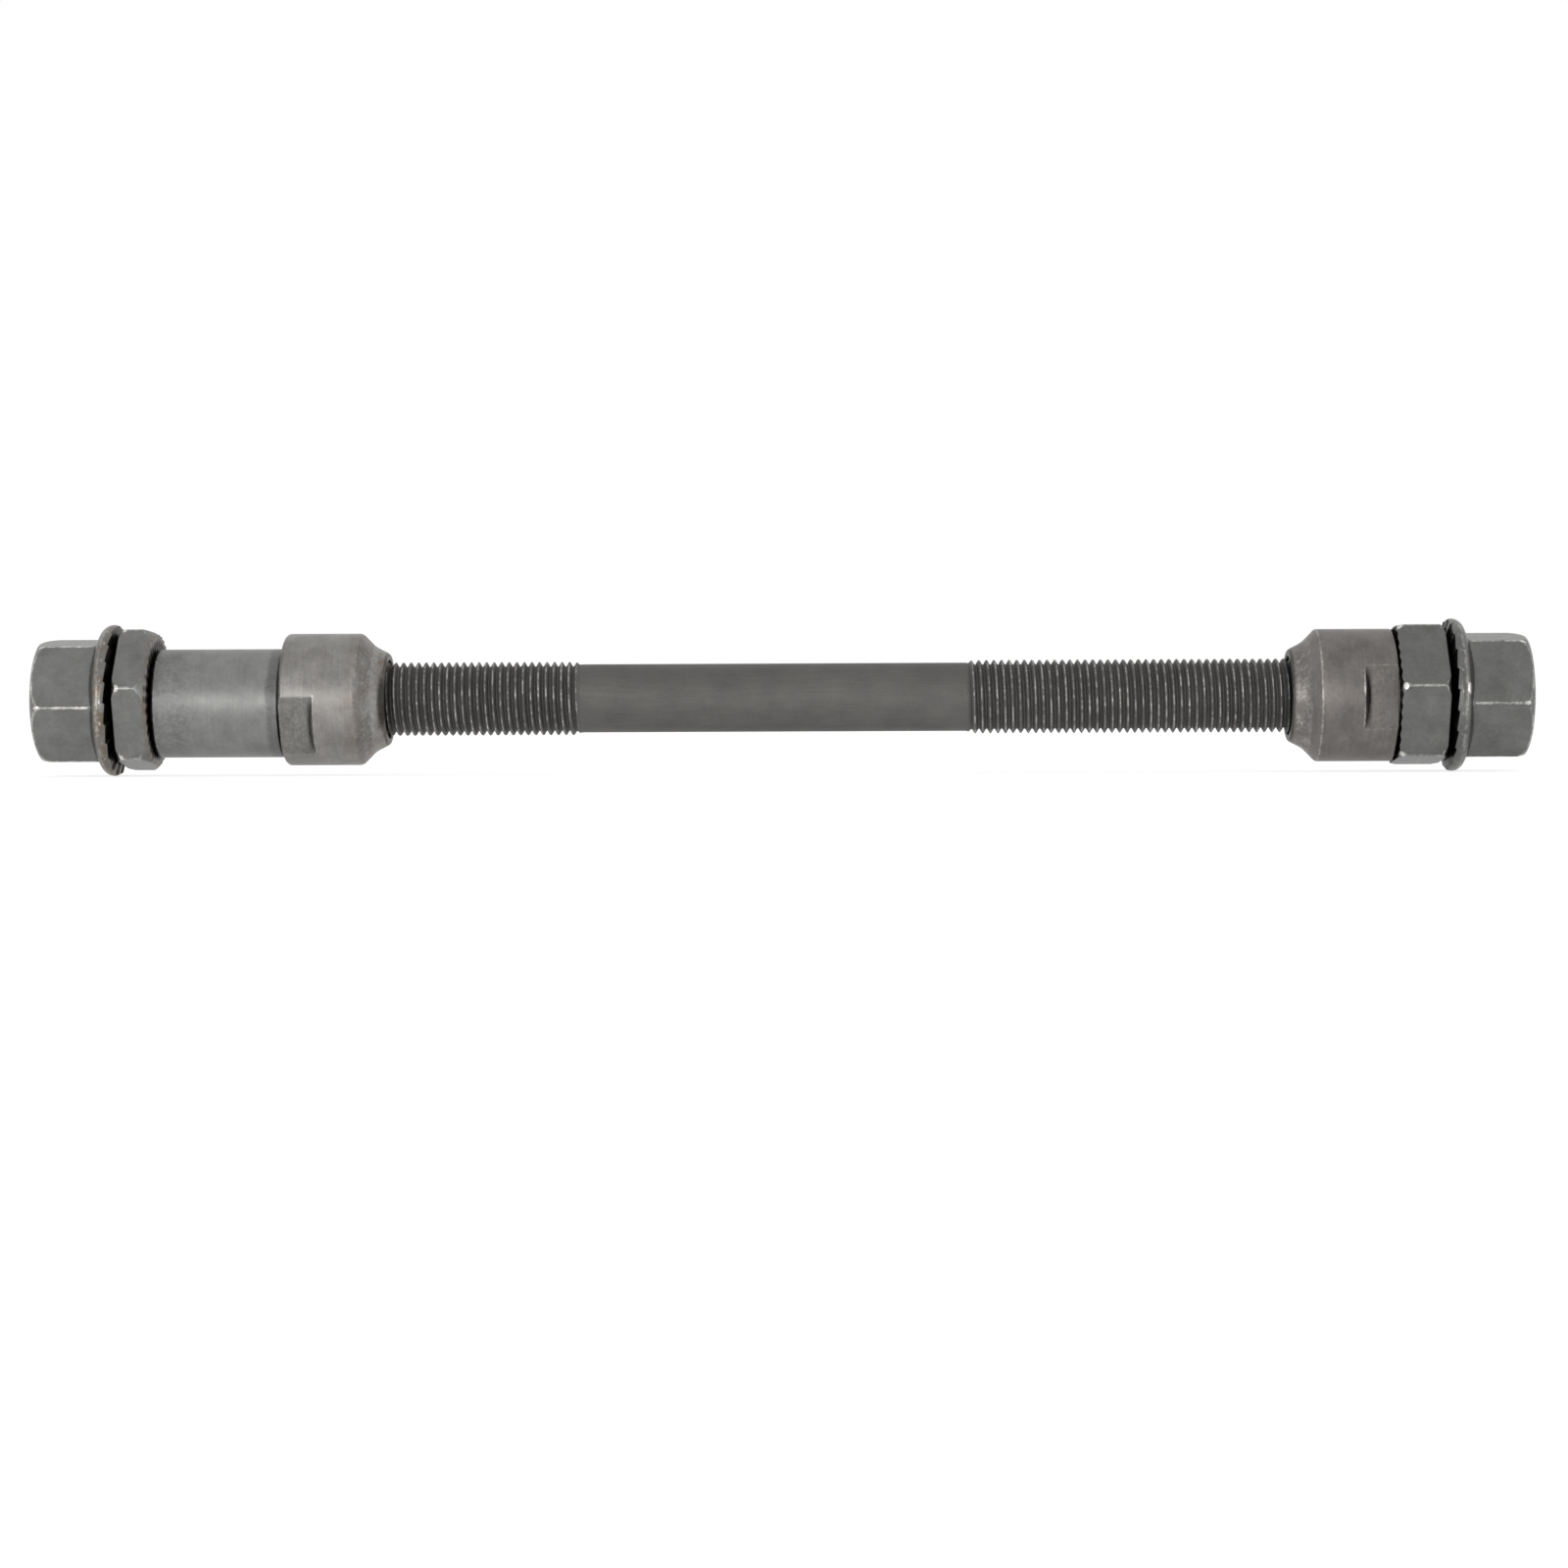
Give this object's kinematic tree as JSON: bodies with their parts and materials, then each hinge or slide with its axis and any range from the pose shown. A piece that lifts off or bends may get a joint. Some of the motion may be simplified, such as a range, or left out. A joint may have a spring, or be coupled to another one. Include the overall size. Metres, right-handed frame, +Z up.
{
  "type": "bicycle hub axle",
  "caption": "Solid threaded rear hub axle set: plain shank between rolled threads, bearing cones with wrench flats, a long spacer tube, locknuts and toothed-flange axle nuts.",
  "frame": {"origin": "on the axle's axis, midway between the outer faces of the two locknuts", "axes": "+X along the axle, away from the long spacer; +Y away from the front; +Z up"},
  "size_m": [0.1914, 0.0196, 0.0196],
  "materials": {
    "axle_steel": "dark oiled rolled steel",
    "cone_steel": "hardened steel, satin, faintly browned",
    "spacer_steel": "satin tumbled steel tube",
    "nut_steel": "dark phosphated steel with bright worn corners"
  },
  "bodies": {
    "axle_set": {"axle": "axle_steel", "left_spacer": "spacer_steel", "left_locknut": "nut_steel", "right_locknut": "nut_steel"},
    "left_cone": {"left_cone": "cone_steel"},
    "right_cone": {"right_cone": "cone_steel"},
    "left_nut": {"left_axle_nut": "nut_steel"},
    "right_nut": {"right_axle_nut": "nut_steel"}
  },
  "joints": [
    {"name": "left_nut_screw", "type": "slide", "parent": "axle_set", "child": "left_nut", "axis": [-1, 0, 0], "range_m": [0, 0.00879]},
    {"name": "right_nut_screw", "type": "slide", "parent": "axle_set", "child": "right_nut", "axis": [1, 0, 0], "range_m": [0, 0.00684]},
    {"name": "left_cone_screw", "type": "slide", "parent": "axle_set", "child": "left_cone", "axis": [1, 0, 0], "range_m": [0, 0.02345]},
    {"name": "right_cone_screw", "type": "slide", "parent": "axle_set", "child": "right_cone", "axis": [-1, 0, 0], "range_m": [0, 0.03908]}
  ]
}
